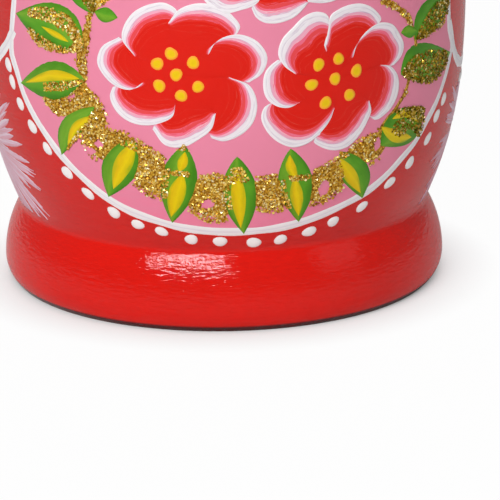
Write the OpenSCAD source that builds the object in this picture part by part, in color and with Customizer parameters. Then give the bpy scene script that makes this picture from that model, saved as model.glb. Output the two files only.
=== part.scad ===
// Nesting doll: turned wooden dolls, each closed over the next smaller one.
// Every doll but the smallest has a lower half with a raised spigot and an upper half with a socket.
// All dolls share one outline. Each hollow is turned to take the next doll with a little play.
// Lengths are in millimetres. The outer doll stands on z = 0 and looks towards -y.

/* [Nest] */
// Dolls in the nest, with the solid one in the middle
doll_count = 7; // [3:1:7]
// Size of each doll against the one round it
nest_scale = 0.775; // [0.7:0.005:0.785]
// Free space round a doll at the narrow places of the hollow that holds it
nest_play = 0.8; // [0.4:0.1:1.2]

/* [Base ring] */
// Radius of the base ring at its widest line
base_r = 36; // [30:0.5:44]
// Height of the widest line over the flat foot
base_rise = 3.5; // [2.5:0.25:5]
// How far the flat foot lies inside the widest line
foot_inset = 1.5; // [0.75:0.25:3]
// Height of the crease over the widest line
ring_rise = 9.25; // [7:0.25:12]
// How far the crease lies inside the widest line
waist_inset = 2.8; // [1.5:0.1:3.4]

/* [Body] */
// Flare of the skirt where it leaves the crease, radius over height
skirt_flare = 0.48; // [0.35:0.01:0.6]
// Height of the belly's widest line over the crease
skirt_rise = 42.75; // [34:0.25:52]
// How far the belly stands out over the base ring
belly_out = 3.8; // [2:0.1:6]
// Height of the neck over the belly
shoulder_rise = 50.5; // [42:0.5:60]

/* [Head] */
// Radius of the head at its widest line
head_r = 28; // [24:0.5:33]
// How far the neck lies inside the head
neck_inset = 1.5; // [0.5:0.25:2.5]
// Height of the head's widest line over the neck
cheek_rise = 23; // [18:0.5:28]
// Height of the crown over the head's widest line
crown_rise = 27; // [22:0.5:32]

/* [Walls] */
// Thickness of the floor of a lower half
floor_t = 8; // [5:0.5:10]
// Thickness of the wood over the hollow of a head
crown_t = 11; // [7:0.5:14]
// Rounding in the corner between the floor and the wall
floor_round = 1.2; // [0.5:0.1:1.6]

/* [Closing joint] */
// Height of the meeting faces of the two halves over the belly
seam_rise = 8.5; // [5:0.5:12]
// Height of the spigot over the meeting faces
spigot_h = 6.5; // [5:0.5:8]
// Least thickness of the wall round the socket
lip_t = 2.2; // [1.6:0.1:2.8]
// Slack of the spigot in the socket, on the radius
fit_gap = 0.08; // [0.04:0.01:0.2]
// Slack over the end of the spigot
end_gap = 0.3; // [0.2:0.05:0.6]
// Chamfer that leads the spigot into the socket
lead_in = 0.5; // [0.3:0.05:0.8]

/* [Paint] */
// Ground colour of each doll, from the outer one inwards
doll_colours = ["#cf2a1f", "#2f6fb5", "#3f8f46", "#8a4fa3", "#e08a1e", "#1f9a9a", "#d8486f"];

/* [Hidden] */
$fn = 96;
curve_steps = 12;

// Stations of the outline
waist_z = base_rise + ring_rise;
belly_z = waist_z + skirt_rise;
seam_z = belly_z + seam_rise;
neck_z = belly_z + shoulder_rise;
head_z = neck_z + cheek_rise;
doll_h = head_z + crown_rise;
waist_r = base_r - waist_inset;
belly_r = base_r + belly_out;
neck_r = head_r - neck_inset;

// Curve that runs from radius r0 with slope m0 into radius r1 over the rise d, level at its end
function eased(r0, m0, r1, d, u) =
    r0 + (r1 - r0) * u * u * (3 - 2 * u) + m0 * d * u * (1 - u) * (1 - u);

// Radius of the body at a height between the crease and the neck
function body_r(z) = z < belly_z
    ? eased(waist_r, skirt_flare, belly_r, skirt_rise, (z - waist_z) / skirt_rise)
    : eased(belly_r, 0, neck_r, shoulder_rise, (z - belly_z) / shoulder_rise);

// Heights from z0 to z1 in equal steps, without the first
function levels(z0, z1, steps) = [for (i = [1 : steps]) z0 + (z1 - z0) * i / steps];

// Arc that starts upright at the widest line and ends at an inset and a rise from it
function ring_arc(inset, rise, t) =
    let (rho = (inset * inset + rise * rise) / (2 * inset), a = t * asin(rise / rho))
    [base_r - rho * (1 - cos(a)), rho * sin(a)];

// The hollows take the base ring, the belly and the head of the next doll, each with the play
well_r = base_r * nest_scale + nest_play;
bore_r = belly_r * nest_scale + nest_play;
throat_r = head_r * nest_scale + nest_play;
well_rise = 2 * (bore_r - well_r) / skirt_flare;
shoulder_t = neck_r - throat_r;
hollow_top = doll_h - crown_t;

// The socket leaves the lip inside the outline at both of its ends, and the spigot fills it
socket_top = seam_z + spigot_h + end_gap;
socket_r = min(body_r(seam_z), body_r(socket_top)) - lip_t;

// Each doll stands on the floor of the one round it, and floors are cut to a hundredth of a millimetre
function size_of(k) = pow(nest_scale, k - 1);
function floor_of(k) = round(100 * floor_t * size_of(k)) / 100;
function stand_z(k) = k == 1 ? 0 : stand_z(k - 1) + floor_of(k - 1);

// Outline from the foot to the seam and from the seam to the crown, for the outer doll
foot_line = [for (i = [6 : -1 : 1])
    let (p = ring_arc(foot_inset, base_rise, i / 6))
    [p[0], base_rise - p[1]]];
ring_line = [for (i = [0 : 8])
    let (p = ring_arc(waist_inset, ring_rise, i / 8))
    [p[0], base_rise + p[1]]];
skirt_line = [for (z = levels(waist_z, belly_z, curve_steps)) [body_r(z), z]];
girth_line = [for (z = levels(belly_z, seam_z, 3)) [body_r(z), z]];
shoulder_line = [for (z = levels(seam_z, neck_z, curve_steps)) [body_r(z), z]];
cheek_line = [for (z = levels(neck_z, head_z, 6))
    [eased(neck_r, 0, head_r, cheek_rise, (z - neck_z) / cheek_rise), z]];
crown_line = [for (i = [1 : curve_steps])
    [head_r * cos(90 * i / curve_steps), head_z + crown_rise * sin(90 * i / curve_steps)]];
lower_line = concat([[0, 0]], foot_line, ring_line, skirt_line, girth_line);
upper_line = concat([[body_r(seam_z), seam_z]], shoulder_line, cheek_line, crown_line);

// Hollow of a lower half from the bore down to the floor, with heights over the floor
well_line = concat(
    [for (i = [0 : 6])
        [bore_r - (bore_r - well_r) * pow(i / 6, 2), waist_z - floor_t + well_rise * (1 - i / 6)]],
    [for (i = [0 : 4]) [well_r - floor_round * (1 - cos(22.5 * i)), floor_round * (1 - sin(22.5 * i))]],
    [[0, 0]]);

// Hollow of an upper half from the crown down to the socket
cap_line = concat(
    [for (i = [curve_steps : -1 : 0])
        [throat_r * cos(90 * i / curve_steps), head_z + (hollow_top - head_z) * sin(90 * i / curve_steps)]],
    [[throat_r, neck_z]],
    [for (z = levels(neck_z, socket_top, curve_steps)) [body_r(z) - shoulder_t, z]]);

// Lower half of doll k: base ring and skirt in one turned piece, with the spigot over the seam
module lower_half(k) {
    s = size_of(k);
    spigot_r = socket_r * s - fit_gap;
    spigot_z = (seam_z + spigot_h) * s;
    lead = lead_in * s;
    color(doll_colours[k - 1])
    translate([0, 0, stand_z(k)])
    rotate_extrude()
    polygon(concat(
        lower_line * s,
        [[spigot_r, seam_z * s], [spigot_r, spigot_z - lead], [spigot_r - lead, spigot_z]],
        [[bore_r * s, spigot_z]],
        [for (p = well_line) [p[0] * s, p[1] * s + floor_of(k)]]));
}

// Upper half of doll k: shoulders and head in one turned piece, with the socket at its rim
module upper_half(k) {
    s = size_of(k);
    lead = lead_in * s;
    ledge_z = (seam_z + spigot_h) * s + end_gap;
    color(doll_colours[k - 1])
    translate([0, 0, stand_z(k)])
    rotate_extrude()
    polygon(concat(
        upper_line * s,
        [for (p = cap_line) [p[0] * s, max(p[1] * s, ledge_z)]],
        [[socket_r * s, ledge_z], [socket_r * s, seam_z * s + lead], [socket_r * s + lead, seam_z * s]]));
}

// The smallest doll: one solid turned piece
module baby() {
    s = size_of(doll_count);
    color(doll_colours[doll_count - 1])
    translate([0, 0, stand_z(doll_count)])
    rotate_extrude()
    polygon(concat(lower_line, [for (i = [1 : len(upper_line) - 1]) upper_line[i]]) * s);
}

function lower_name(k) = str("doll_", k, "_lower_half");
function upper_name(k) = str("doll_", k, "_upper_half");
baby_name = str("doll_", doll_count, "_solid");

for (k = [1 : doll_count - 1]) {
    lower_half(k);
    upper_half(k);
}
baby();
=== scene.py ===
import bpy
import numpy as np
from mathutils import Matrix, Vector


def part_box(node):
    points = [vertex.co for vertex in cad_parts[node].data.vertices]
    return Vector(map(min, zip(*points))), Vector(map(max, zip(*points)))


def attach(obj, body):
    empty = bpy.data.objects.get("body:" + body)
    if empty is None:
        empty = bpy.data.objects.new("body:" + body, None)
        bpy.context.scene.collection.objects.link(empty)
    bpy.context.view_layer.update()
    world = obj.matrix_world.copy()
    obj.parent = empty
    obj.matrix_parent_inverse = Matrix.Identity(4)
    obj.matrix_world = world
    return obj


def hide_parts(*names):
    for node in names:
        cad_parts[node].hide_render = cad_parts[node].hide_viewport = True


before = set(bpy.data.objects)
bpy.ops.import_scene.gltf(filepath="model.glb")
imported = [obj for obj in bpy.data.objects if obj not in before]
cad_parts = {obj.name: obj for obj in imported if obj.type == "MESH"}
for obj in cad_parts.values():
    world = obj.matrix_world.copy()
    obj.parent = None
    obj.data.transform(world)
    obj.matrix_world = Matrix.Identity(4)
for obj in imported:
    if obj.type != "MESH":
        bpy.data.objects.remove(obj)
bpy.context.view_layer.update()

# Lower halves of dolls 1 to 6: base ring, skirt, floor and spigot turned from one block of linden
# wood and hollowed from above. Painted and lacquered outside, bare wood on the spigot and inside.
mm = 0.001
base_r, base_z, foot_inset = 36.0, 3.5, 1.5
waist_inset, waist_z, skirt_flare = 2.8, 12.75, 0.48
belly_r, belly_z = 39.8, 55.5
neck_r, neck_z = 26.5, 106.0
head_r, head_z, doll_h = 28.0, 129.0, 156.0
nest_scale, nest_play = 0.775, 0.8
floor_t, crown_t, floor_round = 8.0, 11.0, 1.2
seam_z, spigot_h, lip_t = 64.0, 6.5, 2.2
fit_gap, end_gap, lead_in = 0.08, 0.3, 0.5
waist_r = base_r - waist_inset
# The wood leaves room for the paint, which fills the crease from a little below it to a little above.
paint_room, rim_round = 0.25, 0.25
crease_fill, crease_below, crease_above = 0.5, 5.0, 3.0


def eased(low, high, slope, z):
    """Radius at height z between two points of (radius, height): a cubic that leaves the low one with a slope
    and runs level into the high one."""
    rise = high[1] - low[1]
    u = (z - low[1]) / rise
    leaving = low[0] * (2 * u**3 - 3 * u**2 + 1) + slope * rise * (u**3 - 2 * u**2 + u)
    return leaving + high[0] * (3 * u**2 - 2 * u**3)


def ring_arc(inset, rise, h):
    """Radius of the base ring at the height h from its widest line: a circle through an inset at a rise."""
    rho = (inset**2 + rise**2) / (2 * inset)
    return base_r - rho + np.sqrt(np.maximum(rho**2 - h**2, 0))


def outline(z):
    """Radius of the outer doll at height z in mm: ring arcs, eased curves for skirt, shoulders and cheeks, and
    an ellipse for the crown. A smooth maximum joins ring and skirt, as the paint in the crease does."""
    z = np.asarray(z, float)
    foot_arc = ring_arc(foot_inset, base_z, base_z - z)
    waist_arc = ring_arc(waist_inset, waist_z - base_z, np.minimum(z, waist_z + crease_above) - base_z)
    ring = np.where(z < base_z, foot_arc, waist_arc)
    belly = (belly_r, belly_z)
    neck = (neck_r, neck_z)
    skirt = eased((waist_r, waist_z), belly, skirt_flare, np.clip(z, waist_z - crease_below - 1, belly_z))
    body = (ring + skirt + np.sqrt((ring - skirt) ** 2 + crease_fill**2)) / 2
    body = np.where(z < waist_z - crease_below, ring, np.where(z > waist_z + crease_above, skirt, body))
    shoulder = eased(belly, neck, 0, np.clip(z, belly_z, neck_z))
    cheek = eased(neck, (head_r, head_z), 0, np.clip(z, neck_z, head_z))
    crown = head_r * np.sqrt(np.clip(1 - ((z - head_z) / (doll_h - head_z)) ** 2, 0, 1))
    return np.select([z < belly_z, z < neck_z, z < head_z], [body, shoulder, cheek], crown)


def span(start, *stops):
    """Heights from start through each (stop, steps) in equal steps."""
    rows = [np.array([start])]
    for stop, steps in stops:
        rows.append(np.linspace(rows[-1][-1], stop, steps + 1)[1:])
    return np.concatenate(rows)


spigot_top = seam_z + spigot_h
socket_top = spigot_top + end_gap
socket_r = min(outline(seam_z), outline(socket_top)) - lip_t
well_r, bore_r, throat_r = (r * nest_scale + nest_play for r in (base_r, belly_r, head_r))
well_rise = 2 * (bore_r - well_r) / skirt_flare
shoulder_t = neck_r - throat_r
hollow_top = doll_h - crown_t

dolls = range(1, 8)
halved = range(1, 7)
lower_name = {k: f"doll_{k}_lower_half" for k in halved} | {7: "doll_7_solid"}
doll_box = {k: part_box(lower_name[k]) for k in dolls}
tall = {k: (doll_box[k][1].z - doll_box[k][0].z) / mm for k in dolls}
size = {k: tall[k] / (spigot_top if k < 7 else doll_h) for k in dolls}
stand = {k: doll_box[k][0].z / mm for k in dolls}
most_turns, turns_fall = 224, 0.65
turns = {k: int(most_turns * size[k] ** turns_fall) for k in dolls}


def put(name, points, faces, paints, paint_of=None, uv=None):
    """Piece from points in mm and groups of faces with as many sides each, with smooth shading, one paint
    number for each face and one UV for each point."""
    corners = np.concatenate([group.ravel() for group in faces])
    sides = np.concatenate([np.full(len(group), group.shape[1]) for group in faces])
    mesh = bpy.data.meshes.new(name)
    mesh.vertices.add(len(points))
    mesh.vertices.foreach_set("co", (points * mm).astype(np.float32).ravel())
    mesh.loops.add(len(corners))
    mesh.loops.foreach_set("vertex_index", corners.astype(np.int32))
    mesh.polygons.add(len(sides))
    mesh.polygons.foreach_set("loop_start", (np.cumsum(sides) - sides).astype(np.int32))
    if paint_of is not None:
        mesh.polygons.foreach_set("material_index", paint_of.astype(np.int32))
    if uv is not None:
        layer = mesh.uv_layers.new(name="stroke")
        layer.data.foreach_set("uv", uv[corners].astype(np.float32).ravel())
    for paint in paints:
        mesh.materials.append(paint)
    mesh.update(calc_edges=True)
    mesh.validate()
    mesh.shade_smooth()
    piece = bpy.data.objects.new(name, mesh)
    bpy.context.scene.collection.objects.link(piece)
    return piece


def in_set(points, k):
    """Points of the outer doll brought to the size and the standing height of doll k."""
    return points * size[k] + np.array([0, 0, stand[k]])


def carried(piece, k, half):
    """Rides a piece on a half of doll k."""
    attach(piece, f"doll_{k}_{half}")


def turned(name, line, bare, k, paints):
    """Solid of revolution: a line of (radius, height) that starts and ends on the axis goes once round it. A
    corner of the line stays a sharp edge, and the stretches marked bare take the second finish."""
    n = turns[k]
    angle = np.linspace(0, 2 * np.pi, n, endpoint=False)
    radius, height = line[1:-1, :1], line[1:-1, 1:]
    rings = np.stack([radius * np.sin(angle), -radius * np.cos(angle), height + 0 * angle], -1).reshape(-1, 3)
    ends = np.array([[0, 0, line[0, 1]], [0, 0, line[-1, 1]]])
    i = np.arange(n)
    after = (i + 1) % n
    row = np.arange(len(radius) - 1)[:, None] * n
    last = (len(radius) - 1) * n
    quads = np.stack([row + i, row + after, row + n + after, row + n + i], -1).reshape(-1, 4)
    first_fan = np.stack([np.full(n, len(rings)), after, i], 1)
    last_fan = np.stack([last + i, last + after, np.full(n, len(rings) + 1)], 1)
    paint_of = np.concatenate([np.repeat(bare[1:-1], n), np.repeat(bare[[0, -1]], n)])
    points = in_set(np.concatenate([rings, ends]), k)
    piece = put(name, points, [quads, first_fan, last_fan], paints, paint_of)

    sharp_bend = np.radians(28)
    run = np.diff(line, axis=0)
    heading = np.unwrap(np.arctan2(run[:, 1], run[:, 0]))
    corner = np.abs(np.diff(heading)) > sharp_bend
    pairs = np.zeros(len(piece.data.edges) * 2, np.int32)
    piece.data.edges.foreach_get("vertices", pairs)
    pairs = pairs.reshape(-1, 2)
    level = np.minimum(pairs // n, len(radius) - 1)
    around = (level[:, 0] == level[:, 1]) & (pairs.max(1) < len(rings))
    sharp = piece.data.attributes.new("sharp_edge", "BOOLEAN", "EDGE")
    sharp.data.foreach_set("value", around & corner[level[:, 0]])
    return piece


def tone(r, g, b):
    """Shader colour from the red, green and blue of a picture, 0 to 255."""
    c = np.array([r, g, b]) / 255
    return (*np.where(c < 0.04045, c / 12.92, ((c + 0.055) / 1.055) ** 2.4), 1.0)


def finish(name, roughness, coat=0.0):
    """Material with an even roughness and a clear coat on its own sockets; returns it with its shader."""
    material = bpy.data.materials.new(name)
    material.use_nodes = True
    shader = material.node_tree.nodes["Principled BSDF"]
    shader.inputs["Roughness"].default_value = roughness
    shader.inputs["Coat Weight"].default_value = coat
    shader.inputs["Coat Roughness"].default_value = 0.12
    shader.inputs["Specular IOR Level"].default_value = 0.15
    return material, shader


def step(material, kind, inputs, **settings):
    """One node of a material: settings are its options, inputs are linked sockets or plain values."""
    node = material.node_tree.nodes.new(kind)
    for key, value in settings.items():
        setattr(node, key, value)
    for key, value in inputs.items():
        if isinstance(value, bpy.types.NodeSocket):
            material.node_tree.links.new(value, node.inputs[key])
        else:
            node.inputs[key].default_value = value
    return node


def object_place(material):
    """Place on the piece, in metres of the shared frame."""
    return step(material, "ShaderNodeTexCoord", {}).outputs["Object"]


def parted(material, vector):
    """Outputs X, Y and Z of a vector."""
    return step(material, "ShaderNodeSeparateXYZ", {"Vector": vector}).outputs


def noise(material, vector, scale, detail):
    """Soft noise from 0 to 1; a scale of three numbers stretches it along the axes."""
    if np.ndim(scale):
        vector = step(material, "ShaderNodeMapping", {"Vector": vector, "Scale": scale}).outputs["Vector"]
        scale = 1.0
    inputs = {"Vector": vector, "Scale": scale, "Detail": detail}
    return step(material, "ShaderNodeTexNoise", inputs).outputs["Fac"]


def sums(material, operation, *values):
    """Result of one operation of arithmetic on values and sockets."""
    return step(material, "ShaderNodeMath", dict(enumerate(values)), operation=operation).outputs["Value"]


def fade(material, value, low, high, start=0.0, end=1.0):
    """Runs evenly from start to end while a value goes from low to high."""
    limits = {"Value": value, "From Min": low, "From Max": high, "To Min": start, "To Max": end}
    return step(material, "ShaderNodeMapRange", limits).outputs["Result"]


def mixed(material, factor, first, second, kind="MIX"):
    """Mix of two colours."""
    colours = {"Factor": factor, "A": first, "B": second}
    return step(material, "ShaderNodeMix", colours, data_type="RGBA", blend_type=kind).outputs["Result"]


def ramp(material, value, stops):
    """Colours of a picture through stops of (place, colour)."""
    node = step(material, "ShaderNodeValToRGB", {"Fac": value})
    elements = node.color_ramp.elements
    while len(elements) < len(stops):
        elements.new(0.5)
    for element, (place, colour) in zip(elements, stops):
        element.position = place
        element.color = tone(*colour)
    return node.outputs["Color"]


def coloured(material, shader, colour):
    """Links a colour to the shader."""
    material.node_tree.links.new(colour, shader.inputs["Base Color"])


def bumped(material, shader, height, depth, sockets=("Normal",)):
    """Bump of a depth in mm on the shader from a height that runs from 0 to 1."""
    bump = step(material, "ShaderNodeBump", {"Height": height, "Strength": 1.0, "Distance": depth * mm})
    for socket in sockets:
        material.node_tree.links.new(bump.outputs["Normal"], shader.inputs[socket])


def rest_height(k, z):
    """Height in metres on doll k, in its place, that matches a height z in mm on the outer doll."""
    return (stand[k] + size[k] * z) * mm


def ground_paint(name, k, ring, skirt):
    """Lacquered paint: brush lines run round the axis, the skirt above the crease takes a paler tone than the
    ring under it as painted sheen on the one red, and the colour is darkened at the edge of the foot as
    painted shadow."""
    material, shader = finish(name, 0.4, 0.66)
    shader.inputs["Specular IOR Level"].default_value = 0.0
    shader.inputs["Coat Roughness"].default_value = 0.012
    place = object_place(material)
    height = parted(material, place)["Z"]
    lines = noise(material, place, (620 / size[k], 620 / size[k], 2300 / size[k]), 2.0)
    cloud = noise(material, place, 70 / size[k], 2.0)
    uneven = fade(material, sums(material, "ADD", lines, cloud), 0.6, 1.24, 0.93, 1.03)
    # The skirt's paler tone above the crease is painted sheen on the same paint as the ring.
    over_crease = fade(material, height, rest_height(k, waist_z - 0.4), rest_height(k, waist_z + 0.6))
    body = mixed(material, over_crease, tone(*ring), tone(*skirt))
    colour = mixed(material, 1.0, body, uneven, "MULTIPLY")
    # Painted contact shadow: the colour is darkened to a tenth at the bottom edge of the foot.
    painted_foot_shadow = fade(material, height, rest_height(k, 0.75), rest_height(k, 1.15), 0.1)
    coloured(material, shader, mixed(material, 1.0, colour, painted_foot_shadow, "MULTIPLY"))
    bumped(material, shader, lines, 0.1 * size[k], ("Normal", "Coat Normal"))
    return material


def bare_linden():
    """Sanded linden: pale, with long faint fibres along the axis and fine rings left by the gouge."""
    material, shader = finish("bare_linden_wood", 0.62)
    place = object_place(material)
    fibre = noise(material, place, (900, 900, 45), 4.0)
    gouge = noise(material, place, (40, 40, 2200), 2.0)
    wood_tones = [(0.28, (196, 156, 108)), (0.5, (222, 188, 142)), (0.72, (236, 208, 168))]
    coloured(material, shader, ramp(material, fibre, wood_tones))
    bumped(material, shader, gouge, 0.05)
    return material


# Each doll's ring tone and skirt tone: the skirt's paler, less saturated tone is painted sheen, not a second
# paint.
ground_tone = {
    1: ((224, 16, 0), (212, 26, 18)), 2: ((24, 84, 176), (34, 92, 176)),
    3: ((34, 122, 50), (46, 132, 60)), 4: ((112, 52, 150), (122, 62, 158)),
    5: ((226, 122, 18), (230, 130, 30)), 6: ((14, 132, 138), (26, 140, 144)),
    7: ((206, 40, 92), (212, 52, 100))}
ground = {k: ground_paint(f"doll_{k}_ground_paint", k, *ground_tone[k]) for k in dolls}
linden = bare_linden()

skirt_steps = [(base_z, 12), (waist_z, 28), (waist_z + 4, 12), (belly_z, 40), (seam_z - rim_round, 10)]
skirt_rows = span(0.0, *skirt_steps)
skirt_line = np.stack([outline(skirt_rows) - paint_room, skirt_rows], 1)
rim = np.array([[outline(seam_z) - paint_room - rim_round, seam_z]])
well_t = np.linspace(0, 1, 16)
quarter = np.linspace(0, np.pi / 2, 9)
well_wall = np.stack([bore_r - (bore_r - well_r) * well_t**2, waist_z + well_rise * (1 - well_t)], 1)
well_foot_r = well_r - floor_round * (1 - np.cos(quarter))
well_foot = np.stack([well_foot_r, floor_t + floor_round * (1 - np.sin(quarter))], 1)
well_line = np.concatenate([well_wall, well_foot, [[0, floor_t]]])
for k in halved:
    spigot_r = socket_r - fit_gap / size[k]
    spigot_line = [[spigot_r, seam_z], [spigot_r, spigot_top - lead_in],
                   [spigot_r - lead_in, spigot_top], [bore_r, spigot_top]]
    lower_line = np.concatenate([[[0, 0]], skirt_line, rim, spigot_line, well_line])
    bare = np.arange(len(lower_line) - 1) > len(skirt_line)
    bare[0] = True
    lower = turned(f"doll_{k}_lower_turned", lower_line, bare, k, [ground[k], linden])
    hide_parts(lower_name[k])
    carried(lower, k, "lower")

# Upper halves of dolls 1 to 6: shoulders, neck and head turned from one block, hollowed from below
# with a socket at the rim. The rim lies on the lower half's shoulder and the socket goes over its spigot.
shoulder_rows = span(seam_z + rim_round, (neck_z, 60), (head_z, 30))
shoulder_line = np.stack([outline(shoulder_rows) - paint_room, shoulder_rows], 1)
arch = np.linspace(0, np.pi / 2, 40)[1:-1]
crown_top = doll_h - paint_room
crown_line = np.stack([(head_r - paint_room) * np.cos(arch), head_z + (crown_top - head_z) * np.sin(arch)], 1)
dome = np.linspace(np.pi / 2, 0, 25)
dome_line = np.stack([throat_r * np.cos(dome), head_z + (hollow_top - head_z) * np.sin(dome)], 1)
dome_line[0, 0] = 0
hollow_rows = span(neck_z, (socket_top, 25))
for k in halved:
    ledge_z = spigot_top + end_gap / size[k]
    hollow_line = np.stack([outline(hollow_rows) - shoulder_t, np.maximum(hollow_rows, ledge_z)], 1)
    socket_line = [[socket_r, ledge_z], [socket_r, seam_z + lead_in], [socket_r + lead_in, seam_z]]
    inside = np.concatenate([dome_line, hollow_line, socket_line])
    upper_line = np.concatenate([inside, rim, shoulder_line, crown_line, [[0, crown_top]]])
    bare = np.arange(len(upper_line) - 1) < len(inside)
    upper = turned(f"doll_{k}_upper_turned", upper_line, bare, k, [ground[k], linden])
    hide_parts(f"doll_{k}_upper_half")
    carried(upper, k, "upper")

# The smallest doll: one solid piece of linden turned on the same template, painted and lacquered all over but
# for its foot. It doesn't open, and stands loose on the floor of doll 6.
whole_line = np.concatenate([[[0, 0]], skirt_line, shoulder_line, crown_line, [[0, crown_top]]])
bare = np.arange(len(whole_line) - 1) < 1
whole = turned("doll_7_turned", whole_line, bare, 7, [ground[7], linden])
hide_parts(lower_name[7])
carried(whole, 7, "whole")

# Apron: an oval of paint on the front of every doll over its ground colour, pink on the outer one, closed by
# a white brush line with a row of dots. Drawn in the picture's pixels, which are followed back along the
# lens to the skin.
middle, lens_pixels = 250, 4858.45
view_far, view_up, view_side, view_tilt = 22 * base_r, 0.2780, np.radians(-5.5), 0.0127
aim_pixel, aim_z = (222.78, 139.77), 0.6 * base_r
right = np.array([1.0, 0, 0])
ahead = np.array([0, np.cos(view_up), -np.sin(view_up)])


def swing(i, j, angle):
    """Turn of the axes i and j towards each other by an angle."""
    turn = np.eye(3)
    turn[i, i] = turn[j, j] = np.cos(angle)
    turn[i, j] = np.sin(angle)
    turn[j, i] = -np.sin(angle)
    return turn


axes = swing(0, 1, -view_tilt) @ np.stack([right, np.cross(right, ahead), ahead]) @ swing(0, 1, view_side)
axes = swing(0, 2, np.arctan((aim_pixel[0] - middle) / lens_pixels)) @ axes
axes = swing(1, 2, np.arctan((middle - aim_pixel[1]) / lens_pixels)) @ axes
eye = swing(0, 1, view_side).T @ np.array([0, -view_far * np.cos(view_up), 0])
eye = eye + np.array([0, 0, aim_z + view_far * np.sin(view_up)])


def from_photo(pixels):
    """Angle and height on the outer doll behind pixels of the picture: each ray from the eye is moved on by
    most of its distance from the outline, again and again, until it meets the skin."""
    ray_start, ray_steps, ray_pace = view_far - 60, 60, 0.8
    pixels = np.asarray(pixels, float)
    across = (pixels[..., :1] - middle) * axes[0] + (middle - pixels[..., 1:]) * axes[1]
    ray = across / lens_pixels + axes[2]
    ray = ray / np.linalg.norm(ray, axis=-1, keepdims=True)
    far = np.full(pixels.shape[:-1], ray_start)
    for _ in range(ray_steps):
        spot = eye + far[..., None] * ray
        far = far + ray_pace * (np.hypot(spot[..., 0], spot[..., 1]) - outline(spot[..., 2]))
    return np.stack([np.arctan2(spot[..., 0], -spot[..., 1]), spot[..., 2]], -1)


def through(points, n):
    """Smooth curve of n places through points: cubics by the length of the chords, with mean slopes."""
    points = np.asarray(points, float)
    reach = np.concatenate([[0], np.cumsum(np.linalg.norm(np.diff(points, axis=0), axis=1))])
    slope = np.gradient(points, reach, axis=0)
    at = np.linspace(0, reach[-1], n)
    i = np.clip(np.searchsorted(reach, at) - 1, 0, len(points) - 2)
    h = (reach[i + 1] - reach[i])[:, None]
    u = (at - reach[i])[:, None] / h
    bend = h * u * (1 - u) * (slope[i] * (1 - u) - slope[i + 1] * u)
    return points[i] + (points[i + 1] - points[i]) * u * u * (3 - 2 * u) + bend


def on_skin(theta, z, lift):
    """Points in mm on the outer doll at an angle from its front and a height, lifted along the normal."""
    near, steepest = 0.05, 8
    lean = np.clip((outline(z + near) - outline(z - near)) / (2 * near), -steepest, steepest)
    out = 1 / np.sqrt(1 + lean**2)
    r = outline(z) - paint_room + lift * out
    return np.stack([r * np.sin(theta), -r * np.cos(theta), z - lift * out * lean], -1)


def ribbon(path, half_width, rows):
    """Sheets along paths of angle and height [n, cols, 2], half a width to each side. Returns the angle, the
    height and the share v across, from -1 to 1."""
    r = outline(path[..., 1])
    run = np.stack([np.gradient(path[..., 0], axis=-1) * r, np.gradient(path[..., 1], axis=-1)], -1)
    run = run / np.maximum(np.linalg.norm(run, axis=-1, keepdims=True), 1e-9)
    v = np.linspace(-1, 1, rows)[None, :, None] + 0 * path[:, None, :, 0]
    across = v * half_width[:, None, :]
    theta = path[:, None, :, 0] - across * (run[..., 1] / r)[:, None]
    return theta, path[:, None, :, 1] + across * run[:, None, :, 0], v


seam_room, under_foot, over_crown = 0.15, -1.0, doll_h + 1
lower_reach = ("lower", under_foot, seam_z - seam_room)
upper_reach = ("upper", seam_z + seam_room, over_crown)
halves_of = {k: [lower_reach, upper_reach] for k in halved} | {7: [("whole", under_foot, over_crown)]}


def lay(piece, theta, z, lift, uv, paints, pick=None):
    """Paint sheets [n, rows, cols] on the skin of every doll, cut at the seam so that each half carries its
    own share. A paint may differ from doll to doll, and pick gives the number of the paint for each sheet."""
    n, rows, cols = theta.shape
    i = np.arange(theta.size).reshape(theta.shape)
    quads = np.stack([i[:, :-1, :-1], i[:, :-1, 1:], i[:, 1:, 1:], i[:, 1:, :-1]], -1).reshape(-1, 4)
    pick = np.repeat(np.zeros(n, int) if pick is None else pick, (rows - 1) * (cols - 1))
    lift = (lift + 0 * theta).ravel()
    theta, z = theta.ravel(), z.ravel()
    uv = (uv + np.zeros((n, rows, cols, 2))).reshape(-1, 2)
    for k in dolls:
        for half, low, high in halves_of[k]:
            keep = ((z > low) & (z < high))[quads].any(1)
            if not keep.any():
                continue
            used, faces = np.unique(quads[keep], return_inverse=True)
            faces = faces.reshape(-1, 4)
            points = on_skin(theta[used], np.clip(z[used], low, high), lift[used])
            corners = points[faces]
            facing = np.cross(corners[:, 2] - corners[:, 0], corners[:, 3] - corners[:, 1])
            centre = corners.mean(1)
            outward = centre - np.array([0, 0, 1]) * np.minimum(centre[:, 2:], head_z)
            faces = np.where(np.sum(facing * outward, 1, keepdims=True) < 0, faces[:, ::-1], faces)
            own_paints = [paint[k] if isinstance(paint, dict) else paint for paint in paints]
            name = f"doll_{k}_{half}_{piece}"
            sheet = put(name, in_set(points, k), [faces], own_paints, pick[keep], uv[used])
            carried(sheet, k, half)


def stroke_paint(name, stops, streak=(0.6, 9.0), wander=0.25, depth=0.03):
    """Opaque brush paint: tones run across the stroke along UV y and wander in streaks that follow UV x."""
    material, shader = finish(name, 0.42, 0.1)
    uv = step(material, "ShaderNodeUVMap", {}, uv_map="stroke").outputs["UV"]
    hairs = noise(material, uv, (*streak, 1), 3.0)
    shift = sums(material, "MULTIPLY_ADD", hairs, 2 * wander, -wander)
    place = sums(material, "ADD", parted(material, uv)["Y"], shift)
    coloured(material, shader, ramp(material, place, stops))
    bumped(material, shader, hairs, depth)
    return material


def sheet_uv(along, across):
    """UV of a sheet from two arrays that fit each other."""
    return np.stack(np.broadcast_arrays(along, across), -1)


def crowned(v, top, drop, power):
    """Height of a stroke across its width: level in the middle and rounded down to its edges."""
    return top - drop * v**power


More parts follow.
